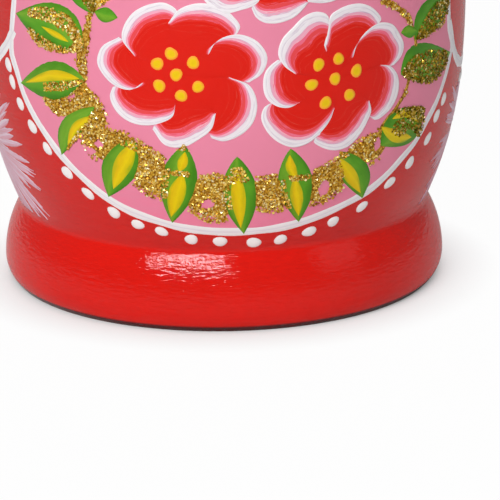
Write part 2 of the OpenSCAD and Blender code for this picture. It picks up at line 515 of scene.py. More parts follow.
edge_pixels = [
    (450, 5), (450.5, 28), (453, 45), (450, 63), (444.5, 83), (438.5, 100), (428, 120.6),
    (417.3, 140.5), (403.5, 157.3), (387.5, 175), (371.5, 189), (344, 205), (318, 216.5), (292, 225),
    (266, 230), (236, 232), (206, 231), (178, 227), (152, 219.5), (129, 211), (104, 196.5), (82, 178),
    (61.5, 157), (44.5, 134), (31, 112), (21.5, 91), (16, 72), (10.6, 54), (10.2, 38), (11.3, 20),
    (13, 0)]
apron_z, apron_top, line_cols, edge_sink = 47.0, 91.0, 193, -0.03
low_edge = from_photo(edge_pixels)
edge_mid = (low_edge[0] + low_edge[-1]) / 2
edge_half = (low_edge[0, 0] - low_edge[-1, 0]) / 2
over = np.radians(np.arange(12, 180, 12))
over_rise = (apron_top - edge_mid[1]) * np.sin(over)
high_edge = np.stack([edge_mid[0] - edge_half * np.cos(over), edge_mid[1] + over_rise], -1)
skin_mm = np.array([38.0, 1])
apron_edge = through(np.concatenate([low_edge, high_edge, low_edge[:1]]) * skin_mm, line_cols) / skin_mm
apron_tone = {
    1: (244, 134, 164), 2: (150, 200, 235), 3: (206, 226, 150), 4: (222, 178, 226), 5: (250, 222, 150),
    6: (170, 228, 216), 7: (250, 196, 206)}
apron_paint = {}
for k, colour in apron_tone.items():
    plain = np.array(colour)
    apron_stops = [(0.2, 0.96 * plain), (0.55, plain), (0.85, 0.9 * plain + 20)]
    apron_paint[k] = stroke_paint(f"doll_{k}_apron_paint", apron_stops, (1.2, 26.0), 0.3)
inward = np.concatenate([[1.0, 0.992], np.linspace(0.97, 0, 25)])[:, None]
theta = inward * apron_edge[:, 0]
z = apron_z + inward * (apron_edge[:, 1] - apron_z)
apron_lift = np.where(inward > 0.999, edge_sink, 0.04)
lay("apron", theta[None], z[None], apron_lift[None], sheet_uv(theta * 8, z / 30)[None], [apron_paint])

white_tones = [
    (0.1, (247, 243, 243)), (0.42, (244, 240, 242)), (0.52, (232, 224, 232)), (0.62, (245, 241, 243)),
    (0.9, (248, 245, 245))]
white = stroke_paint("white_brush_paint", white_tones, (0.35, 2.0), 0.12, 0.04)
line_half, hem_half, hem_level, hem_start = 0.86, 0.95, 35.5, 62.5


def hem_z(angle, side):
    """Height of the hem line at an angle in degrees from the front, to the right (1) or the left (-1): it
    leaves the apron's edge and falls away to one level at the back, sooner on the right."""
    fall = np.where(np.asarray(side) > 0, 7.0, 9.5)
    pace = np.where(np.asarray(side) > 0, 5.0, 12.0)
    return hem_level + fall * np.exp(-(np.asarray(angle) - hem_start) / pace)


behind = np.linspace(60.9, 180, line_cols)
hem_lines = [np.stack([side * np.radians(behind), hem_z(behind, side)], -1) for side in (1, -1)]
wave = np.linspace(0, 2 * np.pi, line_cols)
wavering = 1 + 0.12 * np.sin(23 * wave) * np.sin(7 * wave + 1)
line_width = np.array([[line_half], [hem_half], [hem_half]]) * wavering
theta, z, v = ribbon(np.stack([apron_edge, *hem_lines]), line_width, 7)
line_along = np.arange(line_cols) * 0.9
line_uv = sheet_uv(line_along + 40 * np.arange(3)[:, None, None], v / 2 + 0.5)
lay("white_line", theta, z, crowned(v, 0.08, 0.11, 6), line_uv, [white])


def dots(piece, places, radius, paints, height=0.16, pick=None, base=0.02, lean=0.0):
    """Drops of paint at places of angle and height: low domes, a little out of round, that sink in at their
    edge. An oval drop is radius[0] long in the direction lean, counted from level, and radius[1] wide."""
    turn = np.linspace(0, 2 * np.pi, 15)[None, None]
    out = np.array([0, 0.35, 0.65, 0.88, 1.0])[None, :, None]
    count = len(places)
    radius = radius.T if np.ndim(radius) == 2 else np.tile(radius, (2, 1))
    long, wide = radius[:, :, None, None]
    height, lean = (np.broadcast_to(value, count)[:, None, None] for value in (height, lean))
    number = np.arange(count)[:, None, None]
    uneven = out * (1 + 0.05 * np.sin(2 * turn + 2.4 * number) + 0.04 * np.sin(3 * turn + 1.7 * number))
    along = long * uneven * np.cos(turn)
    across = wide * uneven * np.sin(turn)
    aside = along * np.cos(lean) - across * np.sin(lean)
    above = along * np.sin(lean) + across * np.cos(lean)
    theta = places[:, 0, None, None] + aside / outline(places[:, 1])[:, None, None]
    z = places[:, 1, None, None] + above
    lift = height * np.sqrt(np.maximum(1 - out**2.4, 0)) - (base + 0.01) * (out > 0.99) + base + 0 * theta
    lay(piece, theta, z, lift, sheet_uv(number * 1.7 + 0 * theta, out), paints, pick)


front_dots = from_photo([
    (7, 65), (11, 82), (19, 104), (31, 127), (46, 149), (66, 173), (87, 194), (113, 213), (137, 225),
    (161, 232), (191, 240), (220, 242), (254, 243), (281, 240), (310, 232), (334, 222), (363, 207),
    (391, 183), (411, 163), (429, 139), (438, 116), (445, 99)])
back_t = np.radians(np.arange(76, 180, 4.3))
back_dots = [np.stack([side * back_t, hem_z(np.degrees(back_t), side) - 2.7], -1) for side in (1, -1)]
back_dots = np.concatenate(back_dots)
top_a = np.radians(np.arange(4, 178, 4.6))
dots_aside, dots_start, dots_over = 0.07, 1, 1.4
top_t = edge_mid[0] + (edge_half + dots_aside) * np.cos(top_a)
top_z = edge_mid[1] + dots_start + (apron_top + dots_over - edge_mid[1]) * np.sin(top_a)
top_dots = np.stack([top_t, top_z], -1)
dot_rows = (front_dots, back_dots, top_dots)
row_run = np.concatenate([np.gradient(row * (belly_r, 1), axis=0) for row in dot_rows])
white_dots = np.concatenate(dot_rows)
drop_tones = [(0.0, (252, 250, 248)), (0.8, (248, 244, 243)), (1.0, (236, 220, 218))]
drop_white = stroke_paint("white_drop_paint", drop_tones, (2.0, 1.5), 0.1, 0.02)
rng = np.random.default_rng(7)
dot_size = np.array([1.24, 0.92]) * (1 + 0.07 * rng.standard_normal((len(white_dots), 2)).clip(-1.5, 1.5))
dots("white_dots", white_dots, dot_size, [drop_white], lean=np.arctan2(row_run[:, 1], row_run[:, 0]))

# Leaves: short strokes of green set round the flowers with a full brush, each with one or two loaded
# strokes of yellow on it. Each row is the tip, the middle, the base and the half-width in pixels.
leaf_marks = [
    ((15, 13.5), (50, 24.5), (83, 50), 25), ((20, 83), (48, 81), (84, 80), 21),
    ((61, 155), (68, 132), (94, 107), 13), ((108, 197), (119, 168), (133, 138), 20),
    ((172, 223), (178, 185), (184, 145), 21), ((244, 234), (240, 196), (237, 157), 19.5),
    ((299, 222), (296, 183), (291, 149), 20), ((363, 198), (357, 176), (341, 152), 16.5),
    ((425, 107), (404, 126), (382, 146), 20), ((451, 52), (427, 62), (402, 75), 22),
    ((449, -12), (433, 14), (416, 40), 15), ((62, -28), (80, -8), (93, 14), 13),
    ((117, 18), (106, 15.5), (94, 12), 8.5), ((402, 33), (409, 32), (418, 31), 7),
    ((432, -66), (406, -58), (376, -52), 16), ((414, -118), (390, -98), (364, -84), 16),
    ((362, -172), (348, -142), (334, -118), 16), ((292, -192), (288, -160), (288, -128), 16),
    ((212, -180), (226, -150), (238, -124), 16), ((146, -142), (170, -120), (194, -100), 16),
    ((112, -86), (140, -76), (168, -70), 15)]
yellow_marks = [
    ((41, 26.5), (54, 34), (68, 42), 3.4), ((25, 82.5), (54, 75.5), (79, 79), 6.6),
    ((67, 145), (76, 127), (94, 116), 5.6), ((113, 189), (122, 166), (134, 142), 11),
    ((171, 217), (176, 196), (183, 174), 10), ((185, 152), (183, 161), (179, 172), 6),
    ((241, 228), (239, 203), (236, 169), 9), ((290, 155), (291, 167), (297, 179), 6),
    ((299, 216), (297, 196), (295, 177), 7.5), ((361, 193), (351, 175), (339, 158), 8),
    ((382, 127), (396, 136), (412, 137), 7.5), ((393, 119), (408, 114), (418, 121), 4.6),
    ((424, -64), (405, -58), (384, -53), 7), ((406, -112), (389, -98), (370, -86), 7),
    ((358, -163), (347, -142), (336, -123), 7), ((291, -183), (288, -160), (288, -134), 7),
    ((215, -171), (226, -150), (236, -129), 7), ((153, -135), (170, -120), (189, -103), 7),
    ((119, -83), (140, -76), (161, -71), 6.5)]
leaf_rows, leaf_cols = 9, 25


def leaf_shaped(marks):
    """Strokes drawn in the picture and followed back to the skin: bent paths, pointed at both ends and
    fullest just past the middle. Returns the angle and height, the share v across and the UV."""
    path = np.array([through(mark[:3], leaf_cols) for mark in marks])
    run = np.gradient(path, axis=1)
    run = run / np.linalg.norm(run, axis=-1, keepdims=True)
    u = np.linspace(0, 1, leaf_cols)
    half_width = np.array([mark[3] for mark in marks])[:, None] * np.sin(np.pi * u**1.08) ** 0.82
    v = np.linspace(-1, 1, leaf_rows)[None, :, None] + 0 * half_width[:, None]
    left = np.stack([run[..., 1], -run[..., 0]], -1)
    place = from_photo(path[:, None] + (v * half_width[:, None])[..., None] * left[:, None])
    return place, v, sheet_uv(u * 12 + 20 * np.arange(len(marks))[:, None, None], v / 2 + 0.5)


leaf_tones = [(0.05, (66, 134, 16)), (0.35, (90, 160, 28)), (0.6, (120, 172, 40)), (0.95, (78, 142, 20))]
leaf_paint = stroke_paint("leaf_green_paint", leaf_tones, (0.25, 3.0), 0.35)
leaf_place, v, leaf_uv = leaf_shaped(leaf_marks)
leaf_lift = crowned(v, 0.125, 0.14, 6) + 0.012 * (np.arange(len(leaf_marks)) % 2)[:, None, None]
lay("leaves", leaf_place[..., 0], leaf_place[..., 1], leaf_lift, leaf_uv, [leaf_paint])
yellow_tones = [
    (0.0, (160, 178, 10)), (0.2, (218, 194, 0)), (0.45, (236, 208, 0)), (0.7, (228, 192, 0)),
    (1.0, (180, 178, 10))]
yellow = stroke_paint("yellow_brush_paint", yellow_tones, (0.3, 3.0), 0.3, 0.05)
yellow_place, v, yellow_uv = leaf_shaped(yellow_marks)
yellow_lift = crowned(v, 0.18, 0.09, 4)
lay("leaf_strokes", yellow_place[..., 0], yellow_place[..., 1], yellow_lift, yellow_uv, [yellow])

# Glitter wreath: a ribbon of gold glue brushed from leaf to leaf, with loose flakes of gold foil pressed
# into it. It is broad between the low leaves, thin as a stem beside the flowers, and strays over some leaves.
pixel, glue_cols, glue_rows = 0.164, 301, 13
flake_r, small_doll_flake_r, seam_clear = 0.2, 0.34, 0.3
# Each row is a place and a half-width in pixels; a gap is a place and the two half-widths of an oval.
low_wreath = [
    (88, 16, 3), (87, 28, 4), (82, 42, 8), (80, 56, 7), (82, 72, 6), (79, 88, 9), (86, 103, 15),
    (93, 118, 16), (93, 135, 18), (101, 146, 19), (119, 143, 14), (138, 162, 22), (152, 175, 23),
    (168, 184, 20), (185, 190, 18), (198, 195, 22), (211, 198, 26), (226, 198, 24), (241, 194, 18),
    (257, 194, 18), (271, 194, 20), (286, 192, 20), (300, 190, 16), (314, 188, 19), (326, 184, 20),
    (338, 174, 18), (352, 160, 14), (366, 152, 17), (378, 146, 15), (388, 124, 8), (398, 107, 3),
    (406, 93, 3), (411, 76, 3), (416, 58, 3), (417, 44, 3), (414, 30, 3), (408, 17, 3.5), (382, 0, 3.5)]
high_wreath = [
    (382, 0, 3.5), (386, -22, 7), (386, -50, 14), (374, -85, 17), (352, -116, 19), (320, -138, 20),
    (280, -148, 20), (240, -144, 20), (205, -128, 19), (178, -102, 17), (160, -70, 14), (140, -40, 9),
    (115, -12, 5), (96, 4, 5), (88, 16, 3)]
side_patch = [(42, 94, 3), (50, 104, 6), (60, 109, 8), (72, 108, 9), (86, 106, 10)]
wreath_gaps = np.array([
    (207.5, 204.5, 6, 5), (324.5, 188, 5.5, 8.5), (378.3, 144, 4, 6), (90, 151, 5, 4),
    (98.5, 144, 5, 4)])
gap_at = from_photo(wreath_gaps[:, :2])
gap_r = wreath_gaps[:, 2:] * pixel


def glued(nodes):
    """Ribbon path of angle, height and half-width in mm: a smooth curve through nodes in pixels."""
    nodes = np.array(nodes, float)
    bent = np.concatenate([from_photo(nodes[:, :2]) * (belly_r, 1), nodes[:, 2:] * pixel], 1)
    return through(bent, glue_cols) / (belly_r, 1, 1)


def in_gap(theta, z):
    """True where a place of angle and height lies in one of the ovals that the glue leaves open."""
    aside = (theta[..., None] - gap_at[:, 0]) * outline(z)[..., None] / gap_r[:, 0]
    above = (z[..., None] - gap_at[:, 1]) / gap_r[:, 1]
    return (np.hypot(aside, above) < 1).any(-1)


glue, glue_shader = finish("gold_glue", 0.5)
glue_shader.inputs["Metallic"].default_value = 0.35
grain = noise(glue, object_place(glue), 2600.0, 2.0)
glue_tones = [(0.35, (124, 78, 12)), (0.5, (182, 130, 30)), (0.62, (222, 176, 70))]
coloured(glue, glue_shader, ramp(glue, grain, glue_tones))
bumped(glue, glue_shader, grain, 0.12)
wreath = np.stack([glued(nodes) for nodes in (low_wreath, high_wreath, side_patch)])
drift = np.arange(glue_cols)
ragged = 0.93 + 0.07 * np.sin(drift * 0.9) * np.sin(drift * 0.37 + 1)
theta, z, v = ribbon(wreath[..., :2], wreath[..., 2] * ragged, glue_rows)
glue_lift = np.where(in_gap(theta, z), edge_sink, crowned(v, 0.07, 0.10, 6))
lay("gold_glue", theta, z, glue_lift, sheet_uv(drift, v / 2 + 0.5), [glue])


def foil_paint(name, tones):
    """Thin metal foil: each flake has one tone, which its UV x picks."""
    material, shader = finish(name, 0.22)
    shader.inputs["Metallic"].default_value = 0.4
    uv = step(material, "ShaderNodeUVMap", {}, uv_map="stroke").outputs["UV"]
    coloured(material, shader, ramp(material, parted(material, uv)["X"], tones))
    return material


def unit(vectors):
    """Vectors brought to the length 1."""
    return vectors / np.linalg.norm(vectors, axis=1, keepdims=True)


def scatter(piece, place, ks, radius, lift, foil):
    """Loose hexagons at places of angle and height, each with its own tilt, turn, size, lift and tone."""
    n = len(place)
    theta, z = place.T
    tilt = 0.45 * rng.standard_normal((n, 3))
    normal = unit(np.stack([np.sin(theta), -np.cos(theta), 0 * z], -1) + tilt)
    first = unit(np.cross(normal, rng.standard_normal((n, 3))))
    second = np.cross(normal, first)
    corner = np.radians(60 * np.arange(6))[None, :, None]
    reach = radius * (0.7 + 0.5 * rng.random(n))[:, None, None]
    centre = on_skin(theta, z, lift + 0.06 * rng.random(n))
    points = centre[:, None] + reach * (np.cos(corner) * first[:, None] + np.sin(corner) * second[:, None])
    shine = np.repeat(rng.random((n, 1, 1)), 6, 1) * np.array([1.0, 0.0])
    for k in ks:
        for half, low, high in halves_of[k]:
            keep = (z > low + seam_clear) & (z < high - seam_clear)
            if keep.any():
                rows = in_set(points[keep].reshape(-1, 3), k)
                hexagons = np.arange(len(rows)).reshape(-1, 6)
                uv = shine[keep].reshape(-1, 2)
                carried(put(f"doll_{k}_{half}_{piece}", rows, [hexagons], [foil], None, uv), k, half)


def under_leaf(place):
    """True where a place is nearer to a leaf's middle line than most of the leaf's half-width there."""
    middle_line = leaf_place[:, leaf_rows // 2] * (belly_r, 1)
    half_width = np.linalg.norm((leaf_place[:, -1] - leaf_place[:, 0]) * (belly_r, 1), axis=-1) / 2
    far = np.linalg.norm((place * (belly_r, 1))[:, None, None] - middle_line, axis=-1)
    return (far < 0.94 * half_width).any((1, 2))


def strewn(count):
    """Random places spread evenly over the area of the ribbons, but for their gaps and the leaves."""
    run = np.diff(wreath, axis=1)
    area = np.hypot(run[..., 0] * belly_r, run[..., 1]) * wreath[:, 1:, 2]
    heap = np.cumsum(area.ravel()) / area.sum()
    which, i = np.unravel_index(np.searchsorted(heap, rng.random(count)), area.shape)
    run = run[which, i, :2]
    on_line = wreath[which, i, :2] + rng.random((count, 1)) * run
    forward = unit(run * (belly_r, 1))
    aside = 1.04 * (2 * rng.random(count) - 1) * wreath[which, i, 2]
    theta = on_line[:, 0] - aside * forward[:, 1] / belly_r
    z = on_line[:, 1] + aside * forward[:, 0]
    place = np.stack([theta, z], -1)
    return place[~in_gap(theta, z) & ~under_leaf(place)]


# Flakes take these tones at random: the dark and gold stops are the foil's own colour, the pale top stops are
# painted glints of light.
foil_tones = [
    (0.0, (140, 88, 12)), (0.2, (196, 140, 28)), (0.55, (230, 180, 58)), (0.85, (255, 228, 128)),
    (1.0, (255, 248, 208))]
olive_tones = [
    (0.0, (100, 84, 6)), (0.3, (138, 114, 10)), (0.6, (170, 136, 26)), (0.86, (214, 174, 66)),
    (1.0, (255, 240, 180))]
gold_foil = foil_paint("gold_foil", foil_tones)
olive_foil = foil_paint("olive_foil", olive_tones)
scatter("gold_flakes", strewn(17000), [1], flake_r, 0.10, gold_foil)
scatter("gold_flakes", strewn(1700), range(2, 8), small_doll_flake_r, 0.10, gold_foil)

# Stray glitter: loose foil flakes that fell on the wet paint of the outer doll's leaves and dried in. They
# are gold at the left and a duller olive at the right.
last_bright_leaf = 7
# Each row is a leaf, the share of its width from side to side, the share of its length from tip to base, and
# a count.
dust = np.array([
    (0, 0.05, 0.68, 0.15, 0.97, 620), (0, -1.0, -0.6, 0.2, 0.97, 300), (0, -0.6, 0.1, 0.84, 1.0, 110),
    (1, -0.5, -0.05, 0.36, 0.97, 260), (1, -1.0, -0.92, 0.4, 0.95, 70), (2, -1.0, -0.6, 0.12, 0.97, 170),
    (3, -1.0, 1.0, 0.82, 1.0, 110), (4, 0.5, 1.0, 0.3, 0.62, 130), (4, -0.5, 0.9, 0.6, 0.67, 90),
    (4, -1.0, 1.0, 0.92, 1.0, 30), (5, 0.5, 1.0, 0.34, 0.76, 130), (5, -0.6, 0.6, 0.66, 0.86, 130),
    (6, 0.5, 1.0, 0.2, 0.6, 130), (6, -0.8, 0.3, 0.56, 0.64, 80), (7, 0.6, 1.0, 0.55, 1.0, 50),
    (7, -0.8, 0.3, 0.86, 1.0, 60), (8, -0.9, 1.0, 0.02, 0.42, 520), (8, -0.4, 0.3, 0.42, 0.7, 150),
    (9, -0.5, 0.97, 0.08, 0.97, 1000), (10, -0.25, 0.97, 0.05, 0.97, 700), (11, -0.3, 0.97, 0.03, 0.97, 520)])
leaf_no, side_from, side_to, along_from, along_to, _ = np.repeat(dust, dust[:, 5].astype(int), axis=0).T
leaf_no = leaf_no.astype(int)
row = (side_from + (side_to - side_from) * rng.random(len(leaf_no)) + 1) / 2 * (leaf_rows - 1)
col = (along_from + (along_to - along_from) * rng.random(len(leaf_no))) * (leaf_cols - 1)
row_no = np.minimum(row.astype(int), leaf_rows - 2)
col_no = np.minimum(col.astype(int), leaf_cols - 2)
corner = leaf_place[leaf_no, row_no, col_no]
grain_at = corner + (row - row_no)[:, None] * (leaf_place[leaf_no, row_no + 1, col_no] - corner)
grain_at = grain_at + (col - col_no)[:, None] * (leaf_place[leaf_no, row_no, col_no + 1] - corner)
dull = leaf_no > last_bright_leaf
scatter("leaf_flakes", grain_at[~dull], [1], flake_r, 0.15, gold_foil)
scatter("olive_flakes", grain_at[dull], [1], flake_r, 0.15, olive_foil)

# Flowers: three open blossoms on the apron. Each petal is a fill of one colour, red on the outer doll, under
# one arc of a brush that is loaded with white too, so its rim is white and its inside runs in streaks
# through pink to the full colour.
left_centre, right_centre, third_centre = np.array([(176.0, 75), (335.5, 79), (276.0, -48)])
left_petals = [
    [(134, 56), (121, 38), (130, 15), (150, 4), (165, 3), (177, 12), (170, 22)],
    [(168, 23), (177, 11), (196, 3.6), (217, 6), (233, 15.8), (240.5, 28), (238, 33)],
    [(209, 54), (216, 42.5), (237, 34.5), (260, 43.6), (268, 57), (262, 74.6), (250, 82.7)],
    [(229.5, 77.5), (251, 87), (257.6, 103), (253, 124), (237, 138), (222, 142), (212, 139)],
    [(216, 114), (212, 129), (199, 140), (182, 148), (165, 146), (152, 130)],
    [(175, 106), (173, 116), (159, 124), (145, 126), (128, 122), (114, 110), (109, 95), (112, 87)],
    [(142, 83), (130, 90), (116, 87), (103, 76), (96, 62), (100, 48), (118, 37)]]
right_petals = [
    [(295, 74), (284, 66), (278.5, 56), (281.5, 41), (293, 27.6), (306, 15.5), (317, 11.7), (328, 15),
     (330, 24), (324, 44)],
    [(326, 45), (329.5, 23.5), (331, 16), (340, 9), (351, 4.6), (363, 3.6), (374, 8), (382, 20), (376, 24)],
    [(353.5, 57), (358, 44), (367, 31.6), (382.6, 22.4), (394, 24.5), (401, 34), (405, 43), (402, 57),
     (395, 65)],
    [(381.5, 65), (391, 66), (398, 73.5), (400, 87), (396, 102), (388, 113), (375, 120), (371, 117)],
    [(370, 101), (372, 110), (368, 122), (359, 137), (347, 148), (335, 151), (322, 148), (314, 142),
     (320, 136)],
    [(334.6, 109), (330.5, 120), (320, 134), (308, 144), (294, 148), (278.5, 143), (266, 131), (261, 117),
     (265, 107), (270, 104)],
    [(299, 103), (289, 108), (275, 106), (266, 98), (263, 85), (266, 71), (275, 62), (278, 60)]]
low_petals = {
    3: [(329, -50), (349, -45), (355, -32), (350, -14), (338, 0), (324, 3.7), (309, 2.7)],
    4: [(309, 2.7), (305, 8), (294.5, 17.9), (284.6, 22.3), (273, 24.3), (263, 22.8), (256, 17.9),
        (251.6, 8.9)],
    5: [(262, -8), (258.8, 1.8), (238, 11.6), (227.5, 13.8), (216.8, 12.5), (207.9, 5.4), (201.6, -2),
        (197, -14)]}
third_petals = [low_petals.get(i, petal - left_centre + third_centre) for i, petal in enumerate(left_petals)]
# How broad the brush ran on each petal of the three flowers.
brush_share = np.concatenate([
    (1, 1, 1, 1, 1.1, 1, 1), (1.35, 1.15, 1, 0.85, 1, 1.1, 1), (1, 1, 1, 1, 1.15, 1.5, 1)])
rim_cols, petal_rows, brush_wide = 41, 24, 23.0
rims = np.array([through(petal, rim_cols) for petal in left_petals + right_petals + third_petals])
centres = np.repeat([left_centre, right_centre, third_centre], len(left_petals), axis=0)
inward = np.linspace(0, 1, petal_rows)[None, :, None] ** 1.5
petal_place = from_photo(rims[:, None] + (centres[:, None, None] - rims[:, None]) * inward[..., None])
petal_reach = np.linalg.norm(centres[:, None] - rims, axis=-1)[:, None]
u = np.linspace(0, 1, rim_cols)[None, None]
swell = np.where(u < 0.5, 0.1 + 0.9 * np.sin(np.pi * u) ** 0.7, 0.55 + 0.45 * np.sin(np.pi * u))
deep = petal_reach * inward / (brush_wide * swell * brush_share[:, None, None])
petal_lift = 0.12 - 0.06 * (u - 0.5) + 0.03 * np.exp(-((deep - 0.3) ** 2) * 8) - 0.16 * (inward < 1e-6)
petal_tone = {
    1: (226, 24, 4), 2: (28, 90, 190), 3: (214, 40, 40), 4: (132, 50, 160), 5: (214, 66, 20),
    6: (18, 130, 150), 7: (206, 40, 90)}
petal_paint = {}
for k, colour in petal_tone.items():
    full = np.array(colour)
    lilac = 0.12 * full + 0.88 * np.array((248, 192, 220))
    pale = 0.12 * full + 0.88 * np.array((255, 222, 236))
    pink = 0.3 * full + 0.7 * np.array((255, 150, 196))
    rose = 0.6 * full + 0.4 * np.array((255, 150, 190))
    coral = 0.82 * full + 0.18 * np.array((255, 140, 160))
    # The grey line at 0.075 is partly bristle marks and partly painted shade; the dark lilac line at 0.156 is
    # painted shadow of the thick white paint's edge.
    bands = [
        (0.0, (250, 244, 246)), (0.06, (246, 240, 244)), (0.075, (224, 212, 222)),
        (0.09, (247, 240, 244)), (0.145, (244, 232, 238)), (0.156, (214, 178, 202)), (0.166, lilac),
        (0.2, lilac), (0.21, pale), (0.222, pink), (0.262, pink), (0.27, rose), (0.33, rose),
        (0.342, pink), (0.352, coral), (0.39, coral), (0.4, full), (0.455, full),
        (0.464, 0.8 * full + 45), (0.474, full), (0.6, full), (0.61, 0.87 * full + 28), (0.62, full),
        (1.0, full)]
    petal_paint[k] = stroke_paint(f"doll_{k}_petal_paint", bands, (0.2, 42.0), 0.07, 0.05)
petal_uv = sheet_uv(u * 24 + 40 * np.arange(len(rims))[:, None, None], np.minimum(deep * 0.45, 1.0))
lay("petals", petal_place[..., 0], petal_place[..., 1], petal_lift, petal_uv, [petal_paint])

left_stamens = np.array([(176, 75), (171, 54), (193, 63), (157, 64), (159, 86), (198, 87), (181, 96)], float)
right_stamens = np.array([(335.5, 79), (319, 65), (339, 59), (357, 71), (312, 85), (350, 95), (326, 103)])
stamens = from_photo(np.concatenate([left_stamens, right_stamens, left_stamens - left_centre + third_centre]))
pollen_tones = [(0.0, (240, 200, 4)), (0.5, (246, 202, 8)), (0.66, (255, 184, 48)), (1.0, (250, 158, 50))]
pollen = stroke_paint("stamen_paint", pollen_tones, (2.0, 2.0), 0.16, 0.03)
stamen_size = 1.12 + 0.055 * rng.standard_normal((len(stamens), 2)).clip(-1.5, 1.5)
dots("stamens", stamens, stamen_size, [pollen], height=0.10, base=0.12)

# Brushed flowers: loose blossoms of dry strokes with a split brush, on the sides and the back of the
# skirt between the hem line and the crease. The hairs lie thick in the middle and part at the tips.
fan_places = np.array([(-88, 24), (88, 24), (180, 24)], float)[:, :, None]
fans = len(fan_places)
fan_t, fan_z = fan_places[:, 0], fan_places[:, 1]
fan_r, fan_floor, hem_clear = 36.5, 13.7, 4.6
tufts, tuft_hairs, short_hairs, inner_hairs, fan_cols = 46, 3, 60, 30, 7
outer_hairs = tufts * tuft_hairs
tuft_heading = np.linspace(-90, 262, tufts) + 1.5 * rng.standard_normal((fans, tufts))
low_longer = 1 - 0.3 * np.sin(np.radians(tuft_heading)).clip(-1, 0)
tuft_length = rng.uniform(14.5, 18.5, (fans, tufts)) * low_longer
heading = np.concatenate([
    np.repeat(tuft_heading, tuft_hairs, 1) + 2 * rng.standard_normal((fans, outer_hairs)),
    rng.uniform(-90, 270, (fans, short_hairs + inner_hairs))], 1)
longest = np.concatenate([
    np.repeat(tuft_length, tuft_hairs, 1) * rng.uniform(0.8, 1, (fans, outer_hairs)),
    rng.uniform(8, 13.5, (fans, short_hairs)), rng.uniform(4, 8, (fans, inner_hairs))], 1)
hair_start = np.repeat([5.0, 1.5, 0.2], [outer_hairs, short_hairs, inner_hairs])
aside, above = np.cos(np.radians(heading)), np.sin(np.radians(heading))
tip_t = np.abs(fan_t + np.degrees(longest * aside / fan_r))
tip_t = np.where(tip_t > 180, 360 - tip_t, tip_t)
fan_room = np.where(above > 0, hem_z(tip_t, fan_t) - hem_clear, fan_floor) - fan_z
longest = np.minimum(longest, np.abs(fan_room) / np.maximum(np.abs(above), 0.01))
u = np.linspace(0, 1, fan_cols)
hair_reach = hair_start[:, None] + np.maximum(longest - hair_start, 0.6)[..., None] * u
hair_t = np.radians(fan_t)[..., None] + hair_reach * aside[..., None] / fan_r
hair_z = np.maximum(fan_z[..., None] + hair_reach * above[..., None], fan_floor)
hair_path = np.stack([hair_t, hair_z], -1).reshape(-1, fan_cols, 2)
hair_half = rng.uniform(0.42, 0.66, len(hair_path))[:, None] * (4 * u * (1 - u) + 0.02) ** 0.6
theta, z, v = ribbon(hair_path, hair_half, 4)
number = np.arange(len(hair_path))[:, None, None]
fan_paint = {}
for k in dolls:
    under = np.array(ground_tone[k][1])
    dry = np.array((226, 186, 204))
    hair_tones = [
        (0.1, 0.4 * under + 0.6 * dry), (0.35, 0.18 * under + 0.82 * dry), (0.55, dry),
        (0.9, 0.5 * dry + 124)]
    fan_paint[k] = stroke_paint(f"doll_{k}_dry_brush_paint", hair_tones, (0.1, 7.0), 0.7, 0.06)
hair_lift = crowned(v, 0.05 + 0.05 * ((number * 7) % 11) / 11, 0.09, 4)
lay("brushed_flowers", theta, z, hair_lift, sheet_uv(u * 10 + 17 * number, v / 4 + 0.5), [fan_paint])

# Face and hair: a pale oval on the head with rosy cheeks, parted brown hair, calm eyes, and the small
# nose and mouth that such dolls have. Thin paint, one layer over the other.
face_z, face_wide, face_tall = 126.5, 16.6, 15.4
cheek_at, cheek_r = (9.6, -4.4, 0), 6.0


def from_front(x, z):
    """Angle and height of places drawn on the front as x to the right and z up, both in mm."""
    return np.stack([np.arcsin(x / outline(z)), z], -1)


def face_oval(angle, grow=0.0):
    """Places x and z on the oval of the face, a little broader above than below, grown by a margin."""
    x = (face_wide + grow) * np.cos(angle) * (1 + 0.10 * np.sin(angle))
    return x, face_z + (face_tall + grow) * np.sin(angle)


def front_strokes(marks, cols, rows):
    """Ribbons on the front along smooth curves through marks of x, z and half-width in mm."""
    path = np.stack([through(mark, cols) for mark in marks])
    return ribbon(from_front(path[..., 0], path[..., 1]), path[..., 2], rows)


oval_x, oval_z = face_oval(np.linspace(0, 2 * np.pi, 97))
inward = np.linspace(1, 0, 18)[:, None]
x = inward * oval_x
z = face_z + inward * (oval_z - face_z)
skin, skin_shader = finish("face_paint", 0.42, 0.1)
spot = parted(skin, step(skin, "ShaderNodeUVMap", {}, uv_map="stroke").outputs["UV"])
one_side = {"X": sums(skin, "ABSOLUTE", spot["X"]), "Y": spot["Y"]}
folded = step(skin, "ShaderNodeCombineXYZ", one_side).outputs["Vector"]
cheek_gap = step(skin, "ShaderNodeVectorMath", {0: folded, 1: cheek_at}, operation="DISTANCE")
cheek_far = cheek_gap.outputs["Value"]
skin_tones = [
    (0.0, (244, 140, 124)), (0.35, (245, 158, 138)), (0.75, (248, 200, 170)), (1.0, (249, 212, 182))]
coloured(skin, skin_shader, ramp(skin, fade(skin, cheek_far, 0.0, cheek_r), skin_tones))
face_place = from_front(x, z)[None]
face_lift = np.where(inward > 0.999, edge_sink, 0.045)
lay("face", face_place[..., 0], face_place[..., 1], face_lift[None], sheet_uv(x, z - face_z)[None], [skin])

lock = np.array([
    (0.1, 142.3, 0.1), (4.5, 140.9, 1.6), (9, 138.0, 2.5), (12.8, 133.0, 2.4), (14.9, 127.0, 1.7),
    (15.6, 120.6, 0.15)])
hair_stops = [(0.1, (70, 36, 14)), (0.4, (108, 62, 24)), (0.6, (132, 82, 34)), (0.9, (84, 46, 18))]
hair = stroke_paint("hair_paint", hair_stops, (0.12, 8.0), 0.4, 0.06)
theta, z, v = front_strokes([lock, lock * (-1, 1, 1)], 41, 9)
lay("hair", theta, z, crowned(v, 0.10, 0.12, 6), sheet_uv(np.linspace(0, 30, 41), v / 2 + 0.5), [hair])

